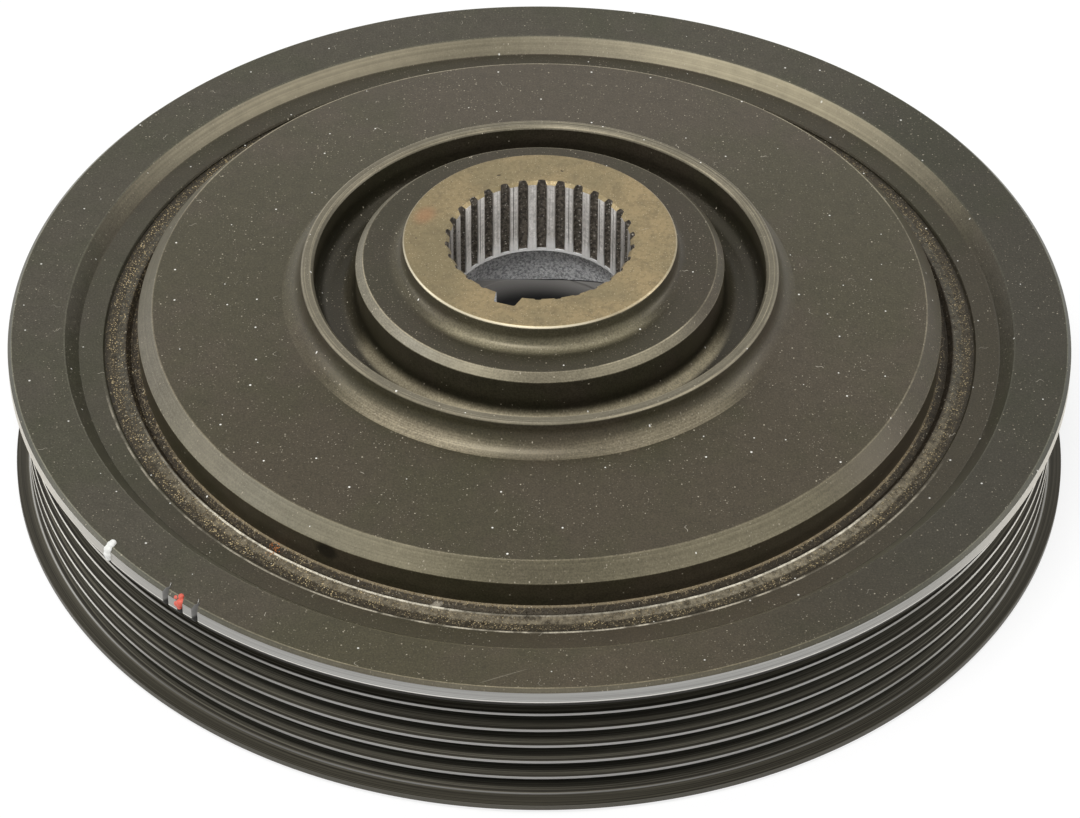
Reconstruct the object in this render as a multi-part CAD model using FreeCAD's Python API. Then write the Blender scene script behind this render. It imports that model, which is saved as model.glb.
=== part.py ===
import FreeCAD, Part
import math
import os

# Crankshaft harmonic balancer: an iron hub, a bonded rubber ring and a turned iron ring with a six groove
# belt track. It lies on the rear face of the inertia ring. Millimetres, Z up along the crankshaft axis,
# origin in the middle of the rear face. Angles are counted from +X towards +Y.

# hub rim
hub_rim_radius = 67.95
hub_rim_front = 2.2            # edge of the rim above the front face
hub_rim_rear = 2.0             # rear edge of the rim above the rear face
hub_rim_wall = 8.2
hub_rim_draft = 1.0
rim_bevel_width = 2.55
rim_bevel_height = 2.9
rim_rear_chamfer = 0.6

# rubber ring
rubber_thickness = 5.8         # from the hub's rim to the bore of the inertia ring
rubber_front_sink = 2.4        # crown below the front face
rubber_rear_sink = 2.2
rubber_gutter_width = 1.3      # dusty ledge beside the hub
rubber_gutter_depth = 0.9
rubber_crown_width = 1.5       # slope that falls away from the crown
rubber_crown_height = 0.55
rubber_bulge_width = 3.0       # flat of the bulge behind

# inertia ring
ring_depth = 16.25             # from its bore to the edge of its flanges
ring_width = 27.2              # rear face to front face
ring_bore_chamfer = 0.3
rear_mouth_chamfer = 1.2       # bore mouth in the rear face
front_edge_chamfer = 0.65
rear_edge_chamfer = 0.7
front_recess_width = 4.25      # flat floor beside the rubber
front_recess_depth = 2.4
front_bevel_width = 2.4        # from that floor up to the front face

# belt track
groove_pitch = 3.52
groove_angle = 40.0
groove_crest_drop = 2.4        # crests below the edge of the flanges
groove_crest_width = 0.5
groove_root_width = 0.7
front_flange_width = 2.6       # front face to the break of the flange edge
flange_edge_break = 0.5        # radial
flange_edge_run = 1.1          # along the axis, down to the first flank
rear_flange_width = 1.6
rear_step_rise = 0.15          # above the crests, where the last flank gives way to the rear flange

# timing notches in the front flange
main_notch_angle = 219.5
notch_offsets = (0.0, 9.0, 11.0, 13.0)
notch_width = 1.3
notch_depth = 1.5

# balance drillings in the rear face
drilling_radius = 4.0
drilling_depth = 6.0
drilling_bore_gap = 1.85       # iron left between a drilling and the bore
drilling_angles = (64.0, 82.0, 106.0)
drill_point_angle = 118.0

# splined bore
spline_pitches = 30
spline_land_radius = 15.15
spline_depth = 0.8
spline_mouth_width = 1.7
spline_floor_width = 1.0
spline_length = 15.4
spline_bevel = 0.55
master_slot_angle = 251.0
master_slot_depth = 2.85
master_mouth_width = 4.7
master_floor_width = 3.6

# nose and boss, outwards from the spline
nose_wall = 7.85
nose_rise = 3.9                # above the boss
nose_foot_round = 2.0
nose_edge_chamfer = 0.3
boss_shoulder = 8.0
boss_rise = 2.0                # above the lip
boss_chamfer = 1.25
gutter_width = 7.05            # groove between the boss and the lip
gutter_depth = 6.5
gutter_round = 2.8

# raised lip and web
lip_wall = 2.15
lip_rise = 5.1                 # above the outer edge of the cove at its foot
lip_chamfer = 0.55
lip_outer_chamfer = 0.35
lip_cove_round = 4.0
lip_cove_slope = 16.0          # where the cove runs out on the web, degrees
lip_cove_land = 0.1            # straight bit between the round and that edge
web_rise = 1.8                 # the front of the web climbs this much from the rim to the cove
web_rear_rise = 1.55           # and its rear from the rim to the collar
web_thickness = 9.6
web_corner_round = 4.0

# cast relief and crank bore behind the spline
relief_step = 0.05             # relief smaller than the crank bore, where the two meet
relief_draft = 0.15            # the relief narrows this much towards the spline
relief_off_axis = 0.25
relief_length = 6.8
crank_bore_step = 1.85         # crank bore larger than the spline lands
crank_bore_chamfer = 1.0

# seal collar on the rear side
collar_wall = 7.0
collar_rear = 1.0              # collar face above the rear face
collar_lead_length = 3.0
collar_lead_depth = 1.4
collar_foot_round = 3.0

clear_of_part = 2.0            # how far cutting tools reach past the faces

# radii that follow
ring_bore_radius = hub_rim_radius + rubber_thickness
ring_radius = ring_bore_radius + ring_depth
front_recess_radius = ring_bore_radius + front_recess_width
front_face_inner_radius = front_recess_radius + front_bevel_width
flank_slope = math.tan(math.radians(groove_angle / 2))
groove_depth = (groove_pitch - groove_crest_width - groove_root_width) / 2 / flank_slope
groove_crest_radius = ring_radius - groove_crest_drop
groove_root_radius = groove_crest_radius - groove_depth
rear_step_radius = groove_crest_radius + rear_step_rise
flange_break_radius = ring_radius - flange_edge_break
drilling_circle_radius = ring_bore_radius + drilling_bore_gap + drilling_radius
spline_root_radius = spline_land_radius + spline_depth
master_slot_radius = spline_land_radius + master_slot_depth
nose_radius = spline_land_radius + nose_wall
boss_radius = nose_radius + boss_shoulder
lip_inner_radius = boss_radius + gutter_width
lip_radius = lip_inner_radius + lip_wall
crank_bore_radius = spline_land_radius + crank_bore_step
relief_radius = crank_bore_radius - relief_step
collar_radius = crank_bore_radius + collar_wall

# heights that follow
rim_edge_height = ring_width + hub_rim_front
web_edge_height = rim_edge_height + rim_bevel_height
cove_edge_height = web_edge_height + web_rise
lip_top = cove_edge_height + lip_rise
gutter_floor = lip_top - gutter_depth
boss_top = lip_top + boss_rise
nose_top = boss_top + nose_rise
spline_end_height = nose_top - spline_length
relief_end_height = spline_end_height - relief_length
first_flank_height = ring_width - front_flange_width - flange_edge_run
first_flank_run = (flange_break_radius - groove_root_radius) * flank_slope
first_groove_height = first_flank_height - first_flank_run - groove_root_width / 2

# as many grooves as the track has room for between the two flanges
groove_count = math.floor((first_flank_height - rear_flange_width) / groove_pitch)
last_groove_height = first_groove_height - (groove_count - 1) * groove_pitch


def rounded_face(corners):
    # a flat face in the XZ plane: each corner is its radius, its height and the round on it
    points = [FreeCAD.Vector(radius, 0, height) for radius, height, corner_round in corners]
    ends = []
    arcs = []
    for index, here in enumerate(points):
        corner_round = corners[index][2]
        back = (points[index - 1] - here).normalize()
        ahead = (points[(index + 1) % len(points)] - here).normalize()
        half_angle = back.getAngle(ahead) / 2
        run = corner_round / math.tan(half_angle)
        ends.append((here + back * run, here + ahead * run))
        middle = (back + ahead).normalize() * (corner_round / math.sin(half_angle) - corner_round)
        arcs.append(here + middle)
    edges = []
    for index, (start, end) in enumerate(ends):
        if corners[index][2] > 0:
            edges.append(Part.Arc(start, arcs[index], end).toShape())
        next_start = ends[(index + 1) % len(ends)][0]
        edges.append(Part.LineSegment(end, next_start).toShape())
    return Part.Face(Part.Wire(edges))


def turned(corners):
    # the solid that a lathe leaves of a section
    return rounded_face(corners).revolve(FreeCAD.Vector(0, 0, 0), FreeCAD.Vector(0, 0, 1), 360)


def turn_to(shape, degrees):
    return shape.rotated(FreeCAD.Vector(0, 0, 0), FreeCAD.Vector(0, 0, 1), degrees)


def groove_corners():
    # roots and crests of the belt track, from the rear groove to the front one
    corners = []
    for index in range(groove_count):
        height = last_groove_height + index * groove_pitch
        corners.append((groove_root_radius, height - groove_root_width / 2, 0))
        corners.append((groove_root_radius, height + groove_root_width / 2, 0))
        if index < groove_count - 1:
            crest_height = height + groove_pitch / 2
            corners.append((groove_crest_radius, crest_height - groove_crest_width / 2, 0))
            corners.append((groove_crest_radius, crest_height + groove_crest_width / 2, 0))
    return corners


def ring_section():
    step_run = (rear_step_radius - groove_root_radius) * flank_slope
    rear_corners = [
        (ring_bore_radius, rear_mouth_chamfer, 0),
        (ring_bore_radius + rear_mouth_chamfer, 0, 0),
        (ring_radius - rear_edge_chamfer, 0, 0),
        (ring_radius, rear_edge_chamfer, 0),
        (ring_radius, rear_flange_width, 0),
        (rear_step_radius, last_groove_height - groove_root_width / 2 - step_run, 0),
    ]
    recess_height = ring_width - front_recess_depth
    front_corners = [
        (flange_break_radius, first_flank_height, 0),
        (ring_radius, ring_width - front_flange_width, 0),
        (ring_radius, ring_width - front_edge_chamfer, 0),
        (ring_radius - front_edge_chamfer, ring_width, 0),
        (front_face_inner_radius, ring_width, 0),
        (front_recess_radius, recess_height, 0),
        (ring_bore_radius + ring_bore_chamfer, recess_height, 0),
        (ring_bore_radius, recess_height - ring_bore_chamfer, 0),
    ]
    return rear_corners + groove_corners() + front_corners


def notch_tool():
    # a V that opens outwards and cuts through the front flange only
    tip = ring_radius - notch_depth
    mouth = ring_radius + clear_of_part
    half_mouth = notch_width / 2 * (mouth - tip) / notch_depth
    outline = Part.makePolygon([
        FreeCAD.Vector(tip, 0, first_groove_height),
        FreeCAD.Vector(mouth, -half_mouth, first_groove_height),
        FreeCAD.Vector(mouth, half_mouth, first_groove_height),
        FreeCAD.Vector(tip, 0, first_groove_height),
    ])
    reach = ring_width + clear_of_part - first_groove_height
    return Part.Face(outline).extrude(FreeCAD.Vector(0, 0, reach))


def drilling_tool():
    point_length = drilling_radius / math.tan(math.radians(drill_point_angle / 2))
    section = Part.makePolygon([
        FreeCAD.Vector(0, 0, -clear_of_part),
        FreeCAD.Vector(drilling_radius, 0, -clear_of_part),
        FreeCAD.Vector(drilling_radius, 0, drilling_depth),
        FreeCAD.Vector(0, 0, drilling_depth + point_length),
        FreeCAD.Vector(0, 0, -clear_of_part),
    ])
    drill = Part.Face(section).revolve(FreeCAD.Vector(0, 0, 0), FreeCAD.Vector(0, 0, 1), 360)
    return drill.translated(FreeCAD.Vector(drilling_circle_radius, 0, 0))


def inertia_ring():
    tools = [turn_to(notch_tool(), main_notch_angle + offset) for offset in notch_offsets]
    tools += [turn_to(drilling_tool(), angle) for angle in drilling_angles]
    return turned(ring_section()).cut(tools)


def rubber_ring():
    # fills the gap between hub and ring: a crown with a dusty gutter beside the hub in front, a plain bulge behind
    crown_height = ring_width - rubber_front_sink
    side_height = crown_height - rubber_crown_height
    gutter_edge = hub_rim_radius + rubber_gutter_width
    crown_radius = gutter_edge + rubber_gutter_depth
    middle_radius = (hub_rim_radius + ring_bore_radius) / 2
    rear_edge = rubber_rear_sink + rubber_crown_height
    return turned([
        (hub_rim_radius, rear_edge, 0),
        (middle_radius - rubber_bulge_width / 2, rubber_rear_sink, 0),
        (middle_radius + rubber_bulge_width / 2, rubber_rear_sink, 0),
        (ring_bore_radius, rear_edge, 0),
        (ring_bore_radius, side_height, 0),
        (crown_radius + rubber_crown_width, side_height, 0),
        (crown_radius, crown_height, 0),
        (gutter_edge, crown_height - rubber_gutter_depth, 0),
        (hub_rim_radius, crown_height, 0),
    ])


def hub_rear_corners():
    # from the mouth of the crank bore out to the rear edge of the rim
    inner_rim_radius = hub_rim_radius - hub_rim_wall
    lead_radius = collar_radius - collar_lead_depth
    web_rear = web_edge_height - web_thickness
    return [
        (crank_bore_radius + crank_bore_chamfer, collar_rear, 0),
        (lead_radius, collar_rear, 0),
        (collar_radius, collar_rear + collar_lead_length, 0),
        (collar_radius, web_rear + web_rear_rise, collar_foot_round),
        (inner_rim_radius, web_rear, web_corner_round),
        (inner_rim_radius + hub_rim_draft, hub_rim_rear, 0),
        (hub_rim_radius - rim_rear_chamfer, hub_rim_rear, 0),
        (hub_rim_radius, hub_rim_rear + rim_rear_chamfer, 0),
    ]


def hub_front_corners():
    # from the front edge of the rim in to the mouth of the splined bore
    web_edge_radius = hub_rim_radius - rim_bevel_width
    cove_slope = math.radians(lip_cove_slope)
    cove_round = min(lip_cove_round, 0.85 * (lip_rise - lip_outer_chamfer))
    cove_width = cove_round / math.tan((math.pi / 2 + cove_slope) / 2) * math.cos(cove_slope) + lip_cove_land
    return [
        (hub_rim_radius, rim_edge_height, 0),
        (web_edge_radius, web_edge_height, 0),
        (lip_radius + cove_width, cove_edge_height, 0),
        (lip_radius, cove_edge_height + cove_width * math.tan(cove_slope), cove_round),
        (lip_radius, lip_top - lip_outer_chamfer, 0),
        (lip_radius - lip_outer_chamfer, lip_top, 0),
        (lip_inner_radius + lip_chamfer, lip_top, 0),
        (lip_inner_radius, lip_top - lip_chamfer, 0),
        (lip_inner_radius, gutter_floor, gutter_round),
        (boss_radius, gutter_floor, gutter_round),
        (boss_radius, boss_top - boss_chamfer, 0),
        (boss_radius - boss_chamfer, boss_top, 0),
        (nose_radius, boss_top, nose_foot_round),
        (nose_radius, nose_top - nose_edge_chamfer, 0),
        (nose_radius - nose_edge_chamfer, nose_top, 0),
        (spline_land_radius + spline_bevel, nose_top, 0),
    ]


def hub_bore_corners():
    # down the bore: spline lands with a bevel at both ends, stock that the relief takes away, the crank bore
    return [
        (spline_land_radius, nose_top - spline_bevel, 0),
        (spline_land_radius, spline_end_height + spline_bevel, 0),
        (spline_land_radius + spline_bevel, spline_end_height, 0),
        (spline_land_radius + spline_bevel, relief_end_height, 0),
        (crank_bore_radius, relief_end_height, 0),
        (crank_bore_radius, collar_rear + crank_bore_chamfer, 0),
    ]


def relief_tool():
    # the cast pocket between spline and crank bore, drafted, and slightly off the machined axis
    pocket = turned([
        (0, relief_end_height, 0),
        (relief_radius, relief_end_height, 0),
        (relief_radius - relief_draft, spline_end_height, 0),
        (0, spline_end_height, 0),
    ])
    return pocket.translated(FreeCAD.Vector(-relief_off_axis, 0, 0))


def bore_slot_tool(floor_radius, land_radius, mouth_width, floor_width, low, high):
    # a straight sided slot that narrows from the land to a floor concentric with the bore
    start_radius = land_radius - clear_of_part
    taper = (mouth_width - floor_width) / 2 / (floor_radius - land_radius)
    half_start = mouth_width / 2 + taper * clear_of_part
    half_floor = floor_width / 2
    corner_radius = math.sqrt(floor_radius ** 2 - half_floor ** 2)
    low_start = FreeCAD.Vector(start_radius, -half_start, low)
    high_start = FreeCAD.Vector(start_radius, half_start, low)
    low_floor = FreeCAD.Vector(corner_radius, -half_floor, low)
    high_floor = FreeCAD.Vector(corner_radius, half_floor, low)
    middle_floor = FreeCAD.Vector(floor_radius, 0, low)
    outline = Part.Wire([
        Part.LineSegment(low_start, low_floor).toShape(),
        Part.Arc(low_floor, middle_floor, high_floor).toShape(),
        Part.LineSegment(high_floor, high_start).toShape(),
        Part.LineSegment(high_start, low_start).toShape(),
    ])
    return Part.Face(outline).extrude(FreeCAD.Vector(0, 0, high - low))


def spline_tools():
    # one space on each pitch, apart from the two that the wide master slot takes up
    pitch_angle = 360.0 / spline_pitches
    space = bore_slot_tool(spline_root_radius, spline_land_radius, spline_mouth_width, spline_floor_width,
                           spline_end_height - relief_length / 2, nose_top + clear_of_part)
    master = bore_slot_tool(master_slot_radius, spline_land_radius, master_mouth_width, master_floor_width,
                            -clear_of_part, nose_top + clear_of_part)
    tools = [turn_to(master, master_slot_angle)]
    for index in range(1, spline_pitches - 1):
        tools.append(turn_to(space, master_slot_angle + (index + 0.5) * pitch_angle))
    return tools


def hub():
    body = turned(hub_rear_corners() + hub_front_corners() + hub_bore_corners())
    return body.cut([relief_tool()] + spline_tools())


os.makedirs("parts", exist_ok=True)
for name, shape in (("hub", hub()), ("rubber_ring", rubber_ring()), ("inertia_ring", inertia_ring())):
    shape.exportStep("parts/" + name + ".step")
    print(name, "volume", round(shape.Volume), "solids", len(shape.Solids), "valid", shape.isValid())
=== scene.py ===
import math
from types import SimpleNamespace

import bmesh
import bpy
from mathutils import Matrix, Vector


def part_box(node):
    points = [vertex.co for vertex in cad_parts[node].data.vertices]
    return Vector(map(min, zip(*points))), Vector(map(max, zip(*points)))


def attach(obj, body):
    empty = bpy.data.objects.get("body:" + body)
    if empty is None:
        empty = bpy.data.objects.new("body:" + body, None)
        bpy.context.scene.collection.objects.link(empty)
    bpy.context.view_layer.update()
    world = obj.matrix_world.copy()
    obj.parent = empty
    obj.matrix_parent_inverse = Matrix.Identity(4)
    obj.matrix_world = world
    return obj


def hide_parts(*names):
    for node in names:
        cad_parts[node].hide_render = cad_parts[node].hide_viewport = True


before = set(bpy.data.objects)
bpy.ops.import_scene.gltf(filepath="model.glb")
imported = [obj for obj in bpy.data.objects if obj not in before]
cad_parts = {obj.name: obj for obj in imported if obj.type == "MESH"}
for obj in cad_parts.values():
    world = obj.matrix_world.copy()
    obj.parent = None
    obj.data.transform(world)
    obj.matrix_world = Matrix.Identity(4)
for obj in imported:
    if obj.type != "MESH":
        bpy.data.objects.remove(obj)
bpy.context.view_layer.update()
bpy.ops.object.select_all(action="DESELECT")
bpy.context.scene.view_settings.view_transform = "Standard"
mm = 0.001
steps = 360                  # vertices round every turned piece


# sizes from the frame, in mm
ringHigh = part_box("inertia_ring")[1]
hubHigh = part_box("hub")[1]
ringRadius = ringHigh.x / mm
ringWidth = ringHigh.z / mm
noseTop = hubHigh.z / mm


# node maths: a wire is a socket that can be added, multiplied and compared
def maths(operation, swapped=False):
    def apply(wire, other):
        values = (other, wire) if swapped else (wire, other)
        return wire.nodes.sum(operation, *values)
    return apply


class Wire:
    def __init__(self, nodes, socket):
        self.nodes = nodes
        self.socket = socket

    __add__ = maths("ADD")
    __radd__ = maths("ADD", True)
    __sub__ = maths("SUBTRACT")
    __rsub__ = maths("SUBTRACT", True)
    __mul__ = maths("MULTIPLY")
    __rmul__ = maths("MULTIPLY", True)
    __truediv__ = maths("DIVIDE")
    __pow__ = maths("POWER")
    __gt__ = maths("GREATER_THAN")
    __lt__ = maths("LESS_THAN")

    def __abs__(self):
        return self.nodes.sum("ABSOLUTE", self)


class Nodes:
    def __init__(self, tree):
        self.tree = tree

    def node(self, kind, settings=None, sockets=None):
        node = self.tree.nodes.new("ShaderNode" + kind)
        for name, value in (settings or {}).items():
            setattr(node, name, value)
        for name, value in (sockets or {}).items():
            self.feed(node.inputs[name], value)
        return node

    def feed(self, socket, value):
        if isinstance(value, Wire):
            self.tree.links.new(value.socket, socket)
        elif isinstance(value, tuple) and len(value) < len(socket.default_value):
            socket.default_value = (*value, 1)      # colours are written without their alpha
        else:
            socket.default_value = value

    def out(self, node, name):
        return Wire(self, node.outputs[name])

    def sum(self, operation, *values):
        node = self.node("Math", {"operation": operation}, dict(enumerate(values)))
        return self.out(node, "Value")

    def most(self, first, second):
        return self.sum("MAXIMUM", first, second)


# one material, with the few helpers that the finishes here need
class Paint(Nodes):
    def __init__(self, name, **shader):
        self.material = bpy.data.materials.new(name)
        self.material.use_nodes = True
        Nodes.__init__(self, self.material.node_tree)
        self.shader = self.tree.nodes["Principled BSDF"]
        for socket, value in shader.items():
            self.feed(self.shader.inputs[socket.replace("_", " ")], value)
        self.place = self.out(self.node("TexCoord"), "Object")
        x, y, z = self.split(self.place)
        self.x = x * 1000
        self.y = y * 1000
        self.height = z * 1000
        self.radius = (self.x * self.x + self.y * self.y) ** 0.5
        self.angle = self.sum("ARCTAN2", self.y, self.x) * (180 / math.pi)

    def split(self, vector):
        node = self.node("SeparateXYZ", {}, {"Vector": vector})
        return [self.out(node, axis) for axis in "XYZ"]

    def vector(self, x, y, z):
        return self.out(self.node("CombineXYZ", {}, {"X": x, "Y": y, "Z": z}), "Vector")

    def ease(self, value, start, end):
        # 0 before start, 1 after end, smooth in between; start may be past end
        low, high, begin, finish = (start, end, 0.0, 1.0) if start < end else (end, start, 1.0, 0.0)
        node = self.node("MapRange", {"interpolation_type": "SMOOTHSTEP"}, {
            "Value": value, "From Min": low, "From Max": high, "To Min": begin, "To Max": finish})
        return self.out(node, "Result")

    def outward(self, start, end):
        return self.ease(self.radius, start, end)

    def upward(self, start, end):
        return self.ease(self.height, start, end)

    def band(self, value, low, high, soft):
        return self.ease(value, low - soft, low + soft) * self.ease(value, high + soft, high - soft)

    def line(self, radius, height, width):
        # a thin ring of wear where the section has a corner
        out = self.radius - radius
        up = self.height - height
        return self.ease((out * out + up * up) ** 0.5, width, width * 0.35)

    def stretch(self, middle, half, soft=12):
        # 1 along part of a turn, given in degrees
        away = abs(self.sum("WRAP", self.angle - middle, 180, -180))
        return self.ease(away, half + soft, half)

    def sides(self):
        # where round bevels and coves get painted highlights: the left, the front, and two short stretches
        # of it
        left = self.stretch(172, 38, 50)
        front = self.stretch(272, 28, 26)
        short = self.stretch(240, 6, 22) + self.stretch(301, 5, 26) * 0.55
        return left, front, short

    def spot(self, x, y, long, wide, turn=0.0):
        # 0 in the middle of an oval on a flat face, 1 at its rim
        cosine = math.cos(math.radians(turn))
        sine = math.sin(math.radians(turn))
        along = ((self.x - x) * cosine + (self.y - y) * sine) / long
        across = ((self.y - y) * cosine - (self.x - x) * sine) / wide
        return (along * along + across * across) ** 0.5

    def upright(self):
        # 1 on faces that look up, 0 on walls
        normal = self.out(self.node("NewGeometry"), "Normal")
        return self.split(normal)[2]

    def noise(self, scale, detail=2.0, roughness=0.5, vector=None):
        node = self.node("TexNoise", {}, {
            "Vector": vector or self.place, "Scale": scale, "Detail": detail, "Roughness": roughness})
        return self.out(node, "Fac")

    def latheMarks(self, scale, drift=0.02, detail=2.0):
        # streaks that run round the axis: quick across the section, slow along the turn
        vector = self.vector(self.radius, self.height, self.x * drift)
        node = self.node("TexNoise", {"noise_dimensions": "4D"}, {
            "Vector": vector, "W": self.y * drift, "Scale": scale, "Detail": detail, "Roughness": 0.6})
        return self.out(node, "Fac")

    def mix(self, share, first, second, blend="MIX"):
        node = self.node("Mix", {"data_type": "RGBA", "blend_type": blend}, {
            0: share, 6: first, 7: second})
        return Wire(self, node.outputs[2])

    def over(self, share, tint):
        # lays a tint over the colour so far
        self.color = self.mix(share, self.color, tint)

    def stain(self, share, tint):
        self.color = self.mix(share, self.color, tint, "MULTIPLY")

    def shade(self, color, value):
        # the colour times a number
        node = self.node("VectorMath", {"operation": "SCALE"}, {0: color, "Scale": value})
        return self.out(node, "Vector")

    def cells(self, scale, flat=False):
        settings = {"voronoi_dimensions": "2D"} if flat else {}
        node = self.node("TexVoronoi", settings, {"Vector": self.place, "Scale": scale})
        color = self.node("SeparateColor", {}, {"Color": self.out(node, "Color")})
        return node, self.out(color, "Red"), self.out(color, "Green"), self.out(color, "Blue")

    def specks(self, cell, size, share, flat=False):
        # round grains in mm, share is how many cells hold one; each grain has a tone of its own
        node, red, green, blue = self.cells(1 / (cell * mm), flat)
        away = self.out(node, "Distance") * cell
        reach = size * (0.45 + 0.55 * green)
        grains = self.ease(away / reach, 1.0, 0.5) * (red < share)
        if flat:
            grains = grains * self.ease(self.upright(), 0.3, 0.6)
        return grains, blue

    def lint(self, cell, length, width, share):
        # short curled fibres of all lengths that lie on flat faces, one at most in a cell
        node, red, green, blue = self.cells(1 / (cell * mm), flat=True)
        offset = self.node("VectorMath", {"operation": "SUBTRACT"}, {
            0: self.place, 1: self.out(node, "Position")})
        across, along, _ = self.split(self.out(offset, "Vector"))
        turn = green * (2 * math.pi)
        sine = self.sum("SINE", turn)
        cosine = self.sum("COSINE", turn)
        forward = (across * cosine + along * sine) * 1000
        sideways = (along * cosine - across * sine) * 1000
        reach = (0.3 + 0.7 * blue) * (length / 2)
        curl = (green - 0.4) * 2.4
        bend = sideways - curl * forward * forward - self.sum("SINE", forward * 5 + blue * 9) * 0.16
        thin = self.ease(abs(bend), width, width * 0.4)
        short = self.ease(abs(forward) / reach, 1.0, 0.8)
        strength = 0.35 + 0.65 * red / share
        return thin * short * strength * (red < share) * self.ease(self.upright(), 0.85, 0.97)

    def bump(self, height, distance, strength=1.0, normal=None):
        # height is 0 to 1, distance in mm
        sockets = {"Height": height, "Distance": distance * mm, "Strength": strength}
        if normal:
            sockets["Normal"] = normal
        return self.out(self.node("Bump", {}, sockets), "Normal")

    def finish(self, roughness=None, metallic=None, normal=None):
        values = {"Base Color": self.color, "Roughness": roughness, "Metallic": metallic, "Normal": normal}
        for socket, value in values.items():
            if value is not None:
                self.feed(self.shader.inputs[socket], value)
        return self.material


# loose dust of a part that has lain in a box: grains of three sizes, and lint
dust = {
    "brown": (0.17, 0.135, 0.09),
    "cream": (0.60, 0.54, 0.42),
    "white": (0.95, 0.93, 0.86),
    "lint": (0.62, 0.57, 0.47),
}


def dusty(paint, roughness, amount=1.0):
    drifts = paint.ease(paint.noise(60, 2.0), 0.3, 0.7)
    fine, fineTone = paint.specks(0.62, 0.13, 0.6, True)
    medium, mediumTone = paint.specks(2.1, 0.17, 0.6, True)
    large, _ = paint.specks(8.0, 0.24, 0.5, True)
    walls, wallTone = paint.specks(1.3, 0.18, 0.8)
    fine = fine * (0.1 + 0.6 * fineTone * fineTone) * (0.4 + 0.6 * drifts)
    medium = medium * (0.2 + 0.7 * mediumTone)
    grains = paint.most(paint.most(fine, medium), walls * (0.3 + 0.6 * wallTone)) * amount
    fibres = paint.lint(7.5, 1.9, 0.06, 0.22) * (0.9 * amount)
    tone = paint.mix(mediumTone, dust["brown"], dust["cream"])
    paint.over(grains, tone)
    paint.over(fibres, dust["lint"])
    paint.over(large * amount, dust["white"])
    everything = paint.most(paint.most(grains, large * amount), fibres)
    return roughness + everything * 0.3, everything


# dark finish of all turned faces
coat = {
    "olive": (0.052, 0.047, 0.028),
    "brown": (0.061, 0.050, 0.035),
    "wearAndGlint": (0.42, 0.37, 0.26),
    "roughness": 0.34,
    "shine": 0.42,
    "sheen": (1.0, 0.89, 0.70),
    "metallic": 0.1,
}


def coatPaint(name, wearAndGlintLines, highlightBands=()):
    # lines: radius, height, width and strength of a worn edge, which is a painted highlight where a stretch
    # is given;
    # bands of painted highlight: two corners of the section and a tint; where only a stretch is painted, its
    # middle angle, half its length and its soft end follow, and a band without them is painted where the
    # bevels of the hub are lit
    paint = Paint(name, Specular_IOR_Level=coat["shine"], Specular_Tint=coat["sheen"])
    clouds = paint.ease(paint.noise(22, 3.0) + (paint.noise(130, 2.0) - 0.5) * 0.5, 0.35, 0.65)
    marks = paint.latheMarks(5.0, 0.003)
    grain = paint.ease(paint.noise(3300, 2.0), 0.25, 0.75)
    mottle = paint.noise(420, 2.0)
    paint.color = paint.mix(clouds, coat["olive"], coat["brown"])
    lineBreakup = 0.4 + 0.6 * paint.ease(paint.noise(170, 3.0), 0.25, 0.75)
    rings = paint.ease(paint.latheMarks(2.4, 0.002, 3.0), 0.3, 0.7)
    left, front, short = paint.sides()
    lit = paint.sum("MINIMUM", left * 0.52 + front * 0.33 + short * 0.7, 1)
    # each band lays a painted highlight, made cooler on the left of the hub's bevels
    for inner, outer, tint, *reach in highlightBands:
        share = paint.band(paint.radius, inner[0], outer[0], 0.06)
        share = share * paint.band(paint.height, min(inner[1], outer[1]), max(inner[1], outer[1]), 0.06)
        share = share * (paint.stretch(*reach) if reach else lit)
        grain = grain + share * (0.5 - grain) * 0.6
        paint.over(share, paint.shade(tint, 0.82 + rings * 0.36))
        if not reach:
            paint.stain(share * left, (0.88, 0.93, 1.10))
    # worn edges, and painted highlights where a stretch is given
    for radius, height, width, strength, *reach in wearAndGlintLines:
        wearAndGlint = paint.line(radius, height, width) * (lineBreakup * strength)
        if reach:
            wearAndGlint = wearAndGlint * paint.stretch(*reach)
        paint.over(wearAndGlint, coat["wearAndGlint"])
    return paint, marks, grain, mottle


def coatFinish(paint, marks, grain, mottle, amount=1.0):
    # grain, dust and the fine marks of the lathe over the colours
    paint.color = paint.shade(paint.color, 0.5 + grain * 0.6 + mottle * 0.4)
    roughness = coat["roughness"] + (grain - 0.5) * 0.1 + (marks - 0.5) * 0.06
    roughness, grains = dusty(paint, roughness, amount)
    relief = paint.bump(marks, 0.004, 0.5)
    relief = paint.bump(grain, 0.008, 0.7, relief)
    return paint.finish(roughness, coat["metallic"] * (1 - grains), relief)


def selectOnly(*pieces):
    # the first of them is the active one
    bpy.ops.object.select_all(action="DESELECT")
    for piece in pieces:
        piece.select_set(True)
    bpy.context.view_layer.objects.active = pieces[0]


def startEdit(kind):
    bpy.ops.object.mode_set(mode="EDIT")
    bpy.ops.mesh.select_mode(type=kind)
    bpy.ops.mesh.select_all(action="SELECT")


# turned pieces: a circle that is extruded from corner to corner of the section, then bridged
def selectRing(piece, radius, height, near=0.004):
    mesh = bmesh.from_edit_mesh(piece.data)
    bpy.ops.mesh.select_all(action="DESELECT")
    wanted = set()
    for vertex in mesh.verts:
        away = abs(math.hypot(vertex.co.x, vertex.co.y) / mm - radius)
        if abs(vertex.co.z / mm - height) < near and away < near:
            wanted.add(vertex)
    for edge in mesh.edges:
        if edge.verts[0] in wanted and edge.verts[1] in wanted:
            edge.select_set(True)
    mesh.select_flush_mode()
    bmesh.update_edit_mesh(piece.data)


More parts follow.
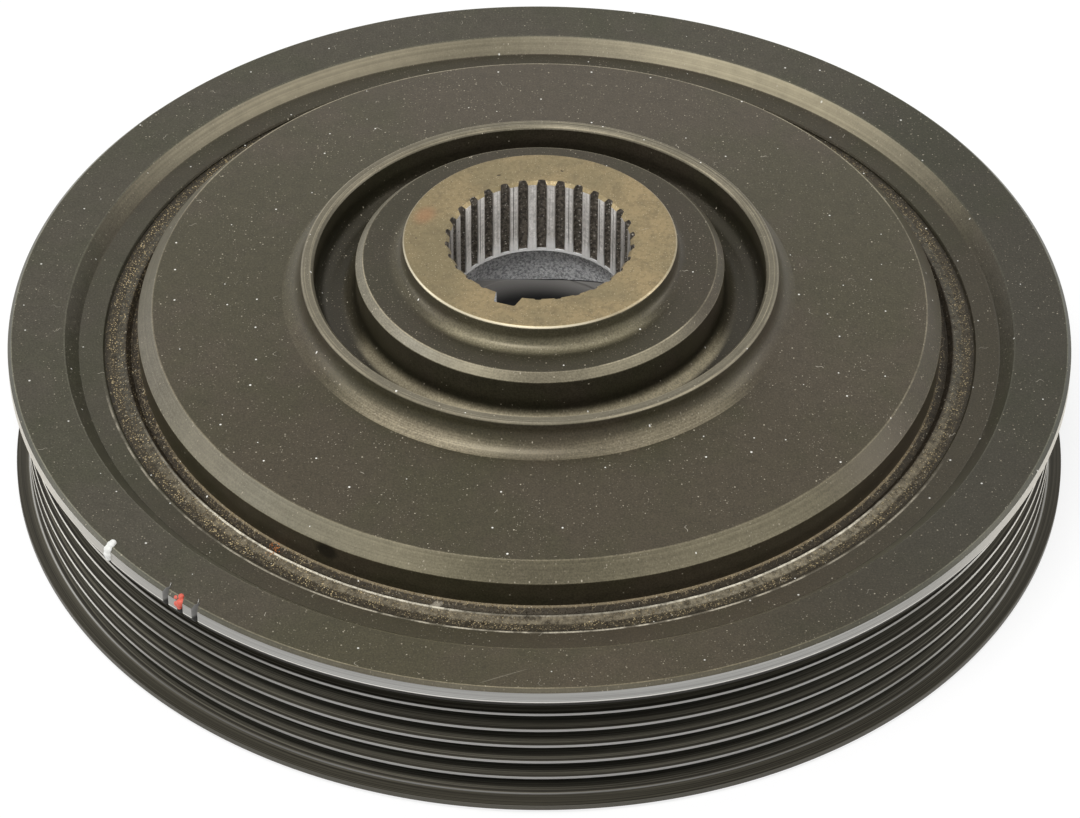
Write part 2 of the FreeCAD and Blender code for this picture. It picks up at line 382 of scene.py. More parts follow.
def turnPiece(name, corners):
    radius, height = corners[0][:2]
    bpy.ops.mesh.primitive_circle_add(vertices=steps, radius=radius * mm, location=(0, 0, height * mm))
    bpy.ops.object.transform_apply()
    piece = bpy.context.object
    piece.name = name
    piece.data.name = name
    startEdit("EDGE")
    shift = 0.0
    for corner in corners[1:]:
        nextShift = corner[3] if len(corner) > 3 else 0.0
        bpy.ops.mesh.extrude_edges_indiv()
        bpy.ops.transform.resize(value=(corner[0] / radius, corner[0] / radius, 1),
                                 center_override=(shift * mm, 0, 0))
        bpy.ops.transform.translate(value=((nextShift - shift) * mm, 0, (corner[1] - height) * mm))
        radius, height = corner[:2]
        shift = nextShift
    bpy.ops.mesh.select_all(action="DESELECT")
    bpy.ops.mesh.select_non_manifold(extend=False)
    bpy.ops.mesh.bridge_edge_loops()
    bpy.ops.mesh.select_all(action="SELECT")
    bpy.ops.mesh.normals_make_consistent(inside=False)
    for index, corner in enumerate(corners):
        if corner[2] > 0:
            here = Vector(corner[:2])
            back = Vector(corners[index - 1][:2]) - here
            ahead = Vector(corners[(index + 1) % len(corners)][:2]) - here
            run = corner[2] / math.tan(back.angle(ahead) / 2)
            selectRing(piece, corner[0], corner[1])
            bpy.ops.mesh.bevel(offset=run * mm, offset_type="OFFSET", segments=8 if corner[2] > 0.9 else 3,
                               profile=0.5, affect="EDGES", clamp_overlap=True)
    bpy.ops.object.mode_set(mode="OBJECT")
    return piece


def cutAway(piece, tools):
    # joins the tools and takes them out of the piece
    selectOnly(*tools)
    if len(tools) > 1:
        bpy.ops.object.join()
    tool = bpy.context.object
    selectOnly(piece)
    bpy.ops.object.modifier_add(type="BOOLEAN")
    cut = piece.modifiers[-1]
    cut.operation = "DIFFERENCE"
    cut.solver = "MANIFOLD"
    cut.object = tool
    bpy.ops.object.modifier_apply(modifier=cut.name)
    bpy.data.objects.remove(tool)


def around(tool, angles):
    # copies of a tool that stands at angle 0, turned about the axis, each with its own mesh
    copies = []
    for angle in angles:
        copy = tool.copy()
        copy.data = tool.data.copy()
        bpy.context.collection.objects.link(copy)
        copy.data.transform(Matrix.Rotation(math.radians(angle), 4, "Z"))
        copies.append(copy)
    bpy.data.objects.remove(tool)
    return copies


def selectFaces(piece, test):
    # picks faces in edit mode by the radius, height and normal of their middle
    mesh = bmesh.from_edit_mesh(piece.data)
    bpy.ops.mesh.select_all(action="DESELECT")
    for face in mesh.faces:
        middle = face.calc_center_median()
        if test(math.hypot(middle.x, middle.y) / mm, middle.z / mm, face.normal):
            face.select_set(True)
    bmesh.update_edit_mesh(piece.data)


def dress(piece, materials):
    # the first material covers all, each further one the faces that its test picks
    selectOnly(piece)
    piece.data.materials.clear()
    for material, _ in materials:
        piece.data.materials.append(material)
    startEdit("FACE")
    for index, (_, test) in enumerate(materials):
        if test:
            selectFaces(piece, test)
        else:
            bpy.ops.mesh.select_all(action="SELECT")
        piece.active_material_index = index
        bpy.ops.object.material_slot_assign()
    bpy.ops.object.mode_set(mode="OBJECT")


def smoothOff(piece, degrees=32):
    selectOnly(piece)
    bpy.ops.object.shade_smooth_by_angle(angle=math.radians(degrees))
    bpy.ops.object.modifier_add(type="WEIGHTED_NORMAL")
    piece.modifiers[-1].keep_sharp = True
    bpy.ops.object.modifier_apply(modifier=piece.modifiers[-1].name)


# camera: stands in front of the part, a little above 40 degrees, with a long lens
camera = {
    "place": (0.14, -667.9, 587.9),       # mm
    "elevation": 40.996,
    "roll": 0.263,
    "lens": 171.37,
}


def addCamera():
    bpy.ops.object.camera_add(location=[value * mm for value in camera["place"]])
    eye = bpy.context.object
    elevation = math.radians(camera["elevation"])
    roll = math.radians(camera["roll"])
    forward = Vector((0, math.cos(elevation), -math.sin(elevation)))
    right = Vector((1, 0, 0))
    up = right.cross(forward)
    turnedRight = right * math.cos(roll) + up * math.sin(roll)
    turnedUp = up * math.cos(roll) - right * math.sin(roll)
    eye.rotation_euler = Matrix((turnedRight, turnedUp, -forward)).transposed().to_euler()
    eye.data.lens = camera["lens"]
    eye.data.sensor_width = 36
    eye.data.clip_start = 0.05
    bpy.context.scene.camera = eye


# soft studio light; places and sizes in metres
lights = {
    "key": {"place": (-0.35, -0.7, 1.95), "size": (0.9, 0.7), "power": 22},
    "top": {"place": (0.0, 0.1, 2.1), "size": (2.2, 2.2), "power": 6},
    "left": {"place": (-1.7, 0.2, 0.7), "size": (0.5, 1.2), "power": 6},
    "right": {"place": (1.7, 0.2, 0.7), "size": (0.5, 1.2), "power": 6},
}
backdrop = {
    "sky": (0.34, 0.34, 0.34),
    "floor": (0.8, 0.8, 0.8),
    "shownFloor": (0.25, 0.25, 0.25),
    "glow": 0.8,
    "size": 12,
}


def addLights():
    for name, light in lights.items():
        bpy.ops.object.light_add(type="AREA", location=light["place"])
        lamp = bpy.context.object
        lamp.name = name
        lamp.data.shape = "RECTANGLE"
        lamp.data.size, lamp.data.size_y = light["size"]
        lamp.data.energy = light["power"]
        lamp.rotation_euler = (-Vector(light["place"])).to_track_quat("-Z", "Y").to_euler()


def pale(nodes, plain, shown):
    # camera, glossy and transmission rays see the shown shader, all others the plain one
    path = nodes.node("LightPath")
    seen = nodes.most(nodes.out(path, "Is Camera Ray"), nodes.out(path, "Is Glossy Ray"))
    seen = nodes.most(seen, nodes.out(path, "Is Transmission Ray"))
    return nodes.out(nodes.node("MixShader", {}, {0: seen, 1: plain, 2: shown}), "Shader")


def addBackdrop():
    world = bpy.data.worlds.new("studio")
    bpy.context.scene.world = world
    world.use_nodes = True
    nodes = Nodes(world.node_tree)
    plain = nodes.node("Background", {}, {"Color": backdrop["sky"]})
    shown = nodes.node("Background", {}, {"Color": (1, 1, 1)})
    both = pale(nodes, nodes.out(plain, "Background"), nodes.out(shown, "Background"))
    nodes.feed(nodes.tree.nodes["World Output"].inputs["Surface"], both)
    bpy.ops.mesh.primitive_plane_add(size=backdrop["size"])
    floor = bpy.context.object
    floor.name = "studio_floor"
    material = bpy.data.materials.new("studio_floor")
    material.use_nodes = True
    nodes = Nodes(material.node_tree)
    plain = nodes.node("BsdfDiffuse", {}, {"Color": backdrop["floor"]})
    lit = nodes.node("BsdfDiffuse", {}, {"Color": backdrop["shownFloor"]})
    glow = nodes.node("Emission", {}, {"Color": (1, 1, 1), "Strength": backdrop["glow"]})
    shown = nodes.node("AddShader", {}, {0: nodes.out(lit, "BSDF"), 1: nodes.out(glow, "Emission")})
    both = pale(nodes, nodes.out(plain, "BSDF"), nodes.out(shown, "Shader"))
    nodes.feed(nodes.tree.nodes["Material Output"].inputs["Surface"], both)
    floor.data.materials.append(material)


# hub: sizes in mm, heights from the rear face of the inertia ring
hub = {
    "rimRadius": 67.95,
    "rimFront": 2.2,            # above the front face of the inertia ring
    "rimRear": 2.0,
    "rimWall": 8.2,
    "bevel": (2.55, 2.9),
    "webRise": 1.8,
    "webRearRise": 1.55,
    "webThickness": 9.6,
    "coveRound": 4.0,           # where the lip stands on the web
    "coveSlope": 16.0,
    "coveLand": 0.1,
    "lipRadius": 40.2,
    "lipWall": 2.15,
    "lipTop": 39.2,
    "gutterFloor": 32.7,
    "bossRadius": 31.0,
    "bossChamfer": 1.25,
    "bossTop": 41.2,
    "noseRadius": 23.0,
    "landRadius": 15.15,
    "rootRadius": 15.95,
    "splineEnd": 29.7,
    "burrRing": 0.9,            # the cutter left a thin ring at the end of the spaces
    "reliefEnd": 22.9,
    "reliefRadius": 16.95,
    "reliefDraft": 0.15,
    "reliefShift": -0.25,
    "boreRadius": 17.0,
    "collarRadius": 24.0,
    "collarRear": 1.0,
    "splinePitches": 30,
    "mouthWidth": 1.7,
    "floorWidth": 1.0,
    "masterAngle": 251.0,
    "masterRadius": 18.0,
    "masterMouth": 4.7,
    "masterFloor": 3.6,
    "darkSpot": {"angle": 239.9, "height": 28.0, "wide": 2.4, "high": 1.7},
    "noseSmudge": (-19.4, 6.2, 3.4, 2.4, 60.0),
    "nosePits": [(-7.0, 17.1, 0.42, 0.2, 15.0), (3.7, 18.3, 0.3, 0.18, -20.0), (-20.7, 0.1, 0.2, 0.15, 0.0)],
    "noseScratch": (17.6, 2.75, 0.8, 0.07, 24.0),
    "frontShade": (0.84, 0.84, 0.79),
}
rimEdge = ringWidth + hub["rimFront"]
rimTop = hub["rimRadius"] - hub["bevel"][0]
webEdge = rimEdge + hub["bevel"][1]
coveEdge = webEdge + hub["webRise"]
lipInner = hub["lipRadius"] - hub["lipWall"]
chamferFoot = hub["bossRadius"] - hub["bossChamfer"]


def hubCorners():
    size = SimpleNamespace(**hub)
    webRear = webEdge - size.webThickness
    slope = math.radians(size.coveSlope)
    coveWidth = size.coveRound / math.tan((math.pi / 2 + slope) / 2) * math.cos(slope) + size.coveLand
    innerRim = size.rimRadius - size.rimWall
    return [
        (size.boreRadius + 1, size.collarRear, 0),
        (size.collarRadius - 1.4, size.collarRear, 0.15),
        (size.collarRadius, size.collarRear + 3, 0.3),
        (size.collarRadius, webRear + size.webRearRise, 3),
        (innerRim, webRear, 4),
        (innerRim + 1, size.rimRear, 0.3),
        (size.rimRadius - 0.6, size.rimRear, 0.12),
        (size.rimRadius, size.rimRear + 0.6, 0.12),
        (size.rimRadius, rimEdge, 0.15),
        (rimTop, webEdge, 0.14),
        (size.lipRadius + coveWidth, coveEdge, 0),
        (size.lipRadius, coveEdge + coveWidth * math.tan(slope), size.coveRound),
        (size.lipRadius, size.lipTop - 0.35, 0.1),
        (size.lipRadius - 0.35, size.lipTop, 0.1),
        (lipInner + 0.55, size.lipTop, 0.1),
        (lipInner, size.lipTop - 0.55, 0.1),
        (lipInner, size.gutterFloor, 2.8),
        (size.bossRadius, size.gutterFloor, 2.8),
        (size.bossRadius, size.bossTop - size.bossChamfer, 0.12),
        (chamferFoot, size.bossTop, 0.12),
        (size.noseRadius, size.bossTop, 2),
        (size.noseRadius, noseTop - 0.3, 0.08),
        (size.noseRadius - 0.3, noseTop, 0.08),
        (size.landRadius + 0.55, noseTop, 0),
        (size.landRadius, noseTop - 0.55, 0),
        (size.landRadius, size.splineEnd + 0.55, 0),
        (size.landRadius + 0.55, size.splineEnd, 0),
        (size.reliefRadius - size.reliefDraft, size.splineEnd, 0, size.reliefShift),
        (size.reliefRadius, size.reliefEnd, 0, size.reliefShift),
        (size.boreRadius, size.reliefEnd, 0),
        (size.boreRadius, size.collarRear + 1, 0),
    ]


def slotTool(name, innerRadius, outerRadius, mouthWidth, floorWidth, mouthRadius, low, high, round):
    # a tapered bar that stands at angle 0 and cuts one space of the spline
    bpy.ops.mesh.primitive_cube_add(size=1, location=(0, 0, 0))
    tool = bpy.context.object
    tool.name = name
    slope = (mouthWidth - floorWidth) / (outerRadius - mouthRadius)
    innerWidth = mouthWidth + slope * (mouthRadius - innerRadius)
    startEdit("FACE")
    bpy.ops.transform.resize(value=((outerRadius - innerRadius) * mm, innerWidth * mm, (high - low) * mm))
    bpy.ops.transform.translate(value=((outerRadius + innerRadius) / 2 * mm, 0, (high + low) / 2 * mm))
    selectFaces(tool, lambda radius, height, normal: normal.x > 0.9)
    bpy.ops.transform.resize(value=(1, floorWidth / innerWidth, 1), center_override=(outerRadius * mm, 0, 0))
    mesh = bmesh.from_edit_mesh(tool.data)
    bpy.ops.mesh.select_mode(type="EDGE")
    bpy.ops.mesh.select_all(action="DESELECT")
    for edge in mesh.edges:
        first, second = (vertex.co for vertex in edge.verts)
        if abs(first.x - second.x) < 1e-6 and abs(first.y - second.y) < 1e-6 and first.x > mouthRadius * mm:
            edge.select_set(True)
    bmesh.update_edit_mesh(tool.data)
    bpy.ops.mesh.bevel(offset=round * mm, segments=3, affect="EDGES")
    bpy.ops.object.mode_set(mode="OBJECT")
    return tool


def splineTools():
    size = SimpleNamespace(**hub)
    space = slotTool("space", size.landRadius - 0.5, size.rootRadius, size.mouthWidth, size.floorWidth,
                     size.landRadius, size.splineEnd + size.burrRing, noseTop + 2, 0.25)
    pitch = 360 / size.splinePitches
    angles = [size.masterAngle + (index + 0.5) * pitch for index in range(1, size.splinePitches - 1)]
    tools = around(space, angles)
    master = slotTool("master", size.landRadius - 2, size.masterRadius, size.masterMouth,
                      size.masterFloor, size.landRadius, -2, noseTop + 2, 0.3)
    return tools + around(master, [size.masterAngle])


def webLines():
    # a worn edge at the top of the hub bevel, with a painted highlight along it at the back
    return [(rimTop, webEdge, 0.22, 0.4), (rimTop, webEdge, 0.3, 0.7, 90, 60)]


def coveHighlight(paint, marks):
    # a painted highlight in the cove of the lip, strongest on the lit sides
    size = SimpleNamespace(**hub)
    left, front, short = paint.sides()
    cove = paint.outward(size.lipRadius + 0.25, size.lipRadius + 1.5)
    cove = cove * (paint.radius < size.lipRadius + 3.25) * (paint.height > coveEdge - 0.1)
    cove = cove * (left * 0.08 + front * 0.22 + short * 0.72) * (0.85 + (marks - 0.5) * 1.6)
    paint.over(cove, (0.33, 0.285, 0.195))


def webPaint():
    # the wide cone between lip and rim, with painted shade in front
    paint, marks, grain, mottle = coatPaint("web_coat", webLines())
    paint.stain(paint.stretch(268, 48, 28), hub["frontShade"])
    coveHighlight(paint, marks)
    return coatFinish(paint, marks, grain, mottle)


def hubPaint():
    size = SimpleNamespace(**hub)
    lipTop = size.lipTop
    bossTop = size.bossTop
    gutter = size.gutterFloor
    # worn edges, and painted highlights where a stretch is given
    lines = webLines() + [
        (size.rimRadius, rimEdge, 0.2, 0.2),
        (size.lipRadius - 0.17, lipTop - 0.17, 0.26, 0.35),
        (size.lipRadius - 0.17, lipTop - 0.17, 0.24, 1.0, 300, 9),
        (lipInner + 0.55, lipTop, 0.2, 0.35),
        (lipInner + 0.3, lipTop - 0.25, 0.2, 0.9, 60, 28),
        (lipInner + 0.3, lipTop - 0.25, 0.2, 0.7, 125, 22),
        (lipInner + 0.85, lipTop, 0.12, 0.6, 95, 75),
        (size.lipRadius - 0.75, lipTop, 0.09, 0.7, 40, 60),
        (size.lipRadius - 0.3, lipTop, 0.16, 0.9, 120, 45),
        (size.lipRadius - 0.65, lipTop, 0.1, 0.5, 230, 45),
        (chamferFoot, bossTop, 0.2, 0.35),
        (chamferFoot, bossTop, 0.18, 1.0, 215, 28),
        (chamferFoot, bossTop, 0.18, 1.0, 308, 12),
        (size.bossRadius, bossTop - size.bossChamfer, 0.2, 0.2),
        (size.noseRadius, noseTop - 0.3, 0.3, 0.6),
    ]
    # painted highlights on the rim bevel, the boss chamfer and the back half of the lip
    bands = [
        ((rimTop, rimEdge), (size.rimRadius, webEdge), (0.285, 0.255, 0.180)),
        ((chamferFoot, bossTop - 1.2), (size.bossRadius, bossTop), (0.345, 0.308, 0.215)),
        ((lipInner, lipTop - 0.5), (size.lipRadius, lipTop + 0.5), (0.145, 0.130, 0.093), 0, 180),
    ]
    paint, marks, grain, mottle = coatPaint("hub_coat", lines, bands)
    # painted shade in front outside the lip, and darker all round on top of the boss
    paint.stain(paint.stretch(268, 48, 28) * (paint.radius > size.lipRadius), size.frontShade)
    top = paint.band(paint.radius, size.noseRadius + 0.5, chamferFoot - 0.1, 0.1)
    paint.stain(top, (0.60, 0.60, 0.58))
    coveHighlight(paint, marks)
    # painted highlights in the fillets at the feet of the nose and the boss
    left, front, short = paint.sides()
    noseFoot = paint.band(paint.radius, size.noseRadius + 0.4, size.noseRadius + 2.1, 0.8)
    noseFoot = noseFoot * (left * 0.1 + front * 0.4 + short * 0.25) * (paint.height > bossTop - 0.1)
    paint.over(noseFoot, (0.36, 0.32, 0.21))
    # painted shade down in the gutter
    low = paint.upward(gutter + 4.5, gutter + 1.5) * (paint.radius > size.bossRadius - 0.1)
    low = low * (paint.radius < lipInner + 0.1)
    paint.stain(low, (0.30, 0.30, 0.28))
    foot = paint.band(paint.radius, size.bossRadius + 0.55, size.bossRadius + 2.2, 0.5)
    foot = foot * paint.upward(gutter + 2.4, gutter + 1.4)
    foot = foot * (0.1 + 0.7 * paint.stretch(225, 14, 12) + 0.9 * paint.stretch(290, 38, 20))
    paint.over(foot, (0.27, 0.235, 0.155))
    aside = abs(paint.angle - (size.darkSpot["angle"] - 360)) * (math.radians(1) * size.rimRadius)
    aside = aside / size.darkSpot["wide"]
    up = (paint.height - size.darkSpot["height"]) / size.darkSpot["high"]
    dark = paint.ease((aside * aside + up * up) ** 0.5, 1.1, 0.5) * (paint.radius > rimTop)
    paint.over(dark * 0.9, (0.004, 0.004, 0.003))
    return coatFinish(paint, marks, grain, mottle)


def nosePaint():
    # ground face: bare iron gone tan, darker and greener in patches
    paint = Paint("nose_face", Metallic=0.7)
    clouds = paint.ease(paint.noise(90, 4.0, 0.6), 0.35, 0.65)
    grain = paint.noise(1500, 3.0, 0.7)
    blots = paint.ease(paint.noise(520, 3.0, 0.6), 0.5, 0.68)
    fine, fineTone = paint.specks(0.55, 0.11, 0.7, True)
    paint.color = paint.mix(clouds, (0.345, 0.262, 0.138), (0.255, 0.205, 0.112))
    paint.over(paint.ease(paint.x, -6, -22) * 0.5, (0.20, 0.165, 0.090))
    paint.over(paint.ease(grain, 0.42, 0.72) * 0.55, (0.17, 0.135, 0.070))
    paint.over(blots * 0.4, (0.16, 0.125, 0.070))
    paint.over(fine * fineTone * 0.7, (0.62, 0.54, 0.38))
    mark = hub["noseSmudge"]
    paint.over(paint.ease(paint.spot(*mark), 1.0, 0.2) * 0.35, (0.42, 0.17, 0.08))
    pits = paint.specks(3.2, 0.16, 0.45, True)[0] * 0.7
    for mark in hub["nosePits"]:
        pits = paint.most(pits, paint.ease(paint.spot(*mark), 1.1, 0.7))
    paint.over(pits * 0.9, (0.035, 0.022, 0.010))
    scratch = paint.ease(paint.spot(*hub["noseScratch"]), 1.2, 0.5)
    # a pale line along the outer edge, a painted highlight that is strongest at the front left; the scratch
    # takes the same tone
    edge = paint.band(paint.radius, hub["noseRadius"] - 0.24, hub["noseRadius"] + 0.1, 0.05)
    edge = edge * (0.35 + 0.65 * paint.stretch(240, 45, 20))
    paint.over(paint.most(edge, scratch * 0.5) * 0.75, (0.66, 0.60, 0.45))
    relief = paint.bump(grain, 0.016, 0.6)
    relief = paint.bump(1 - pits, 0.06, 1.0, relief)
    return paint.finish(0.42 + (grain - 0.5) * 0.2, None, relief)


def landPaint():
    # broached steel on the lands, rough dark metal in the spaces
    size = SimpleNamespace(**hub)
    paint = Paint("spline_steel")
    turn = (paint.angle - size.masterAngle) * (size.splinePitches / 360) + 60.5
    number = paint.sum("FLOOR", turn)
    across = turn - number
    whim = paint.node("TexWhiteNoise", {"noise_dimensions": "1D"}, {"W": number})
    whim = paint.out(whim, "Value")
    streak = paint.noise(3.4, 3.0, 0.5, paint.vector(paint.x, paint.y, paint.height * 0.03))
    grain = paint.noise(1500, 3.0, 0.7)
    clear = paint.ease(streak + (whim - 0.5) * 0.25, 0.3, 0.6)
    bright = paint.mix(clear, (0.62, 0.59, 0.55), (1.0, 0.97, 0.93))
    # greyer at the top, torn along both edges
    top = paint.upward(size.splineEnd + 2, size.splineEnd + 9)
    bright = paint.mix(top * 0.55, bright, (0.40, 0.375, 0.345))
    torn = paint.ease(abs(across - 0.5) + (grain - 0.5) * 0.22, 0.17, 0.225)
    bright = paint.mix(torn * 0.75, bright, (0.24, 0.215, 0.19))
    bright = paint.shade(bright, 0.72 + paint.ease(grain, 0.3, 0.7) * 0.42)
    groove = paint.ease(abs(across - (0.38 + whim * 0.25)), 0.035, 0.015) * (whim > 0.45)
    bright = paint.mix(groove * 0.85, bright, (0.06, 0.055, 0.05))
    # painted highlight: the lands turn white towards their foot; painted shade darkens them towards the
    # sides
    foot = paint.upward(size.splineEnd + 4.5, size.splineEnd + 1.5)
    bright = paint.mix(foot * 0.8, bright, (1.0, 0.99, 0.97))
    ends = paint.ease(abs(paint.angle - 90), 48, 70)
    bright = paint.mix(ends * 0.6, bright, (0.30, 0.28, 0.26))
    dots, dotTone = paint.specks(0.5, 0.24, 0.75)
    dark = paint.mix(paint.ease(grain, 0.35, 0.7), (0.055, 0.046, 0.036), (0.26, 0.225, 0.18))
    dark = paint.mix(dots * dotTone, dark, (0.80, 0.75, 0.66))
    bright = paint.mix(dots * dotTone * ends, bright, (0.05, 0.045, 0.04))
    land = paint.outward(size.landRadius + 0.2, size.landRadius + 0.1)
    paint.color = paint.mix(land, dark, bright)
    # the thin ring at the end of the spaces is painted white: a painted highlight
    ringTop = size.splineEnd + size.burrRing
    burr = paint.upward(ringTop + 0.1, ringTop) * paint.outward(size.landRadius + 0.4, size.landRadius + 0.3)
    paint.over(burr, (1.0, 1.0, 0.99))
    # broaching tilts the fine facets of the lands upwards, so they catch the light of the mouth
    relief = paint.bump(land * (0 - paint.height), 0.5)
    relief = paint.bump(streak, 0.03, 0.6, relief)
    relief = paint.bump(grain, 0.05, 0.7, relief)
    relief = paint.bump(dots * (1 - land), 0.12, 0.8, relief)
    return paint.finish(0.62 - land * 0.22, 0.1 + land * 0.6, relief)


def borePaint():
    # cast and bluish above, smooth below and turned black further down by painted shade; the seam between
    # them sags
    size = SimpleNamespace(**hub)
    paint = Paint("bore_wall", Specular_IOR_Level=0.2)
    lumps = paint.noise(2300, 4.0, 0.7)
    beads = paint.noise(800, 3.0, 0.6)
    broad = paint.noise(160, 2.0)
    cast = paint.mix(paint.ease(lumps, 0.34, 0.62), (0.32, 0.32, 0.335), (1.0, 1.0, 1.0))
    cast = paint.shade(cast, 0.8 + broad * 0.4)
    marks = paint.latheMarks(4.0, 0.004)
    depth = paint.upward(size.reliefEnd - 5.0, size.reliefEnd + 0.5)
    smooth = paint.mix(depth, (0.002, 0.002, 0.002), (0.50, 0.48, 0.455))
    above = paint.height - (size.reliefEnd - 0.65 + paint.x * paint.x * 0.024)
    paint.color = paint.mix(paint.ease(above, -0.05, 0.05), smooth, cast)
    # along the seam a painted highlight on the left and a painted shadow on the right
    foot = paint.ease(paint.x, -4, 2)
    foot = paint.mix(foot, (1.0, 1.0, 1.0), (0.006, 0.006, 0.006))
    paint.over(paint.ease(abs(above), 0.16, 0.08) * 0.9, foot)
    rough = paint.ease(above, -0.05, 0.1)
    relief = paint.bump(beads * rough, 0.35, 0.9)
    relief = paint.bump(lumps * rough, 0.2, 0.9, relief)
    relief = paint.bump(marks, 0.01, 0.5, relief)
    return paint.finish(0.5 + (marks - 0.5) * 0.1, None, relief)


def makeHub():
    size = SimpleNamespace(**hub)
    piece = turnPiece("hub_turned", hubCorners())
    cutAway(piece, splineTools())
    splineEnd = size.splineEnd
    bore = borePaint()
    dress(piece, [
        (hubPaint(), None),
        (webPaint(), lambda r, z, n: size.lipRadius + 3.2 < r < rimTop - 1 and z > webEdge),
        (nosePaint(), lambda r, z, n: z > noseTop - 0.35 and n.z > 0.3),
        (landPaint(), lambda r, z, n: r < size.rootRadius + 0.2 and z > splineEnd - 0.02
                                      and (n.z < 0.3 or z < splineEnd + 2)),
        (bore, lambda r, z, n: r < 18.2 and z < splineEnd + 0.01),
        (bore, lambda r, z, n: size.rootRadius + 0.1 < r < 18.2 and z > splineEnd and n.z < 0.3),
    ])
    smoothOff(piece)
    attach(piece, "root")
    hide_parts("hub")
    print("hub", len(piece.data.polygons), "faces")


# rubber ring between hub and inertia ring
rubber = {
    "frontSink": 2.4,
    "rearSink": 2.2,
    "gutterWidth": 1.3,
    "gutterDepth": 0.9,
    "crownWidth": 1.5,
    "crownHeight": 0.55,
    "bulgeWidth": 3.0,
}


def makeRubber():
    size = SimpleNamespace(**rubber)
    inner = hub["rimRadius"]
    outer = ring["boreRadius"]
    crown = ringWidth - size.frontSink
    side = crown - size.crownHeight
    gutterEdge = inner + size.gutterWidth
    crownRadius = gutterEdge + size.gutterDepth
    middle = (inner + outer) / 2
    piece = turnPiece("rubber_turned", [
        (inner, size.rearSink + size.crownHeight, 0),
        (middle - size.bulgeWidth / 2, size.rearSink, 0.5),
        (middle + size.bulgeWidth / 2, size.rearSink, 0.5),
        (outer, size.rearSink + size.crownHeight, 0),
        (outer, side, 0),
        (crownRadius + size.crownWidth, side, 0.4),
        (crownRadius, crown, 0.25),
        (gutterEdge, crown - size.gutterDepth, 0.2),
        (inner, crown, 0),
    ])
    dress(piece, [(rubberPaint(crownRadius, crown), None)])
    smoothOff(piece, 40)
    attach(piece, "root")
    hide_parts("rubber_ring")
    print("rubber", len(piece.data.polygons), "faces")


def rubberPaint(crownRadius, crown):
    paint = Paint("rubber", Specular_IOR_Level=0.3, Specular_Tint=coat["sheen"])
    inner = hub["rimRadius"]
    outer = ring["boreRadius"]
    lumps = paint.noise(900, 3.0, 0.7)
    slow = paint.ease(paint.noise(14, 2.0), 0.35, 0.65)
    paint.color = paint.mix(paint.ease(lumps, 0.3, 0.7), (0.007, 0.005, 0.003), (0.026, 0.020, 0.013))
    # slope outside the crown: a painted highlight in front and on a short stretch at the right, darker and
    # browner towards the iron
    slope = paint.outward(crownRadius - 0.1, crownRadius + 0.4)
    brownish = paint.outward(crownRadius + 1.4, crownRadius + 1.9)
    ahead = paint.stretch(275, 50, 30)
    tint = paint.mix(ahead, (0.080, 0.075, 0.058), (0.205, 0.176, 0.122))
    tint = paint.mix(paint.stretch(306, 12, 14) * 0.7, tint, (0.30, 0.265, 0.19))
    tint = paint.mix(brownish, tint, (0.052, 0.044, 0.030))
    patches = paint.ease(lumps, 0.22, 0.72)
    paint.over(slope * patches, tint)
    # painted highlight along the crown, strongest in front and a little left of the middle
    glint = paint.most(paint.stretch(240, 16, 8), paint.stretch(302, 12, 12) * 0.6)
    wearAndGlint = paint.ease(paint.noise(240, 3.0), 0.3, 0.6)
    crownGlint = 0.22 + 0.3 * slow * wearAndGlint + 0.9 * glint * (0.5 + 0.5 * wearAndGlint)
    crownGlint = crownGlint * (1 - paint.stretch(272, 12, 16) * 0.35)
    crest = paint.line(crownRadius + 0.1, crown, 0.36) * crownGlint * (0.3 + patches) * paint.stretch(262, 52, 16)
    paint.over(paint.sum("MINIMUM", crest, 1), (0.85, 0.79, 0.64))
    # grit that has gathered beside the hub, finer and thinner over the rest
    clumps = paint.ease(paint.noise(300, 3.0), 0.38, 0.62)
    left = paint.ease(paint.x, 0, -45)
    beside = paint.outward(inner + 1.3, inner + 0.35)
    foot = paint.outward(inner + 0.42, inner + 0.2)
    paint.over(foot * ahead * 0.7, (0.30, 0.24, 0.15))
    grit, gritTone = paint.specks(0.3, 0.17, 0.9)
    more, moreTone = paint.specks(0.55, 0.17, 0.6)
    tone = paint.mix(gritTone * gritTone, (0.10, 0.065, 0.03), (0.85, 0.68, 0.38))
    share = beside * (0.06 + 0.3 * clumps) + slope * (0.25 + 0.35 * clumps) + left * (0.15 + 0.4 * clumps)
    share = paint.sum("MINIMUM", share + foot * 0.9, 1)
    paint.over(grit * share, tone)
    tone = paint.mix(moreTone, (0.30, 0.23, 0.13), (0.85, 0.78, 0.62))
    paint.over(more * share * 0.8, tone)
    # threads of dirt
    thread = paint.ease(abs(paint.noise(520, 2.0) - 0.5), 0.014, 0.005) * (beside * 0.5 + slope * 0.08)
    paint.over(thread, (0.45, 0.36, 0.22))
    rust = paint.ease(paint.spot(-42.2, -53.9, 3.0, 1.6, 50.0), 1.2, 0.4) * grit
    paint.over(rust * 0.8, (0.60, 0.17, 0.03))
    clump = paint.ease(paint.spot(-16.6, -67.2, 1.3, 0.6, 15.0) + (lumps - 0.5) * 1.2, 1.1, 0.6)
    paint.over(clump * 0.7, (0.40, 0.36, 0.29))
    # dark line along the joint
    joint = paint.outward(outer - 0.8, outer - 0.4)
    paint.over(joint * 0.75, (0.012, 0.010, 0.007))
    roughness, _ = dusty(paint, 0.5)
    relief = paint.bump(lumps, 0.12, 0.6)
    relief = paint.bump(grit, 0.1, 0.6, relief)
    return paint.finish(roughness + grit * share * 0.2, None, relief)


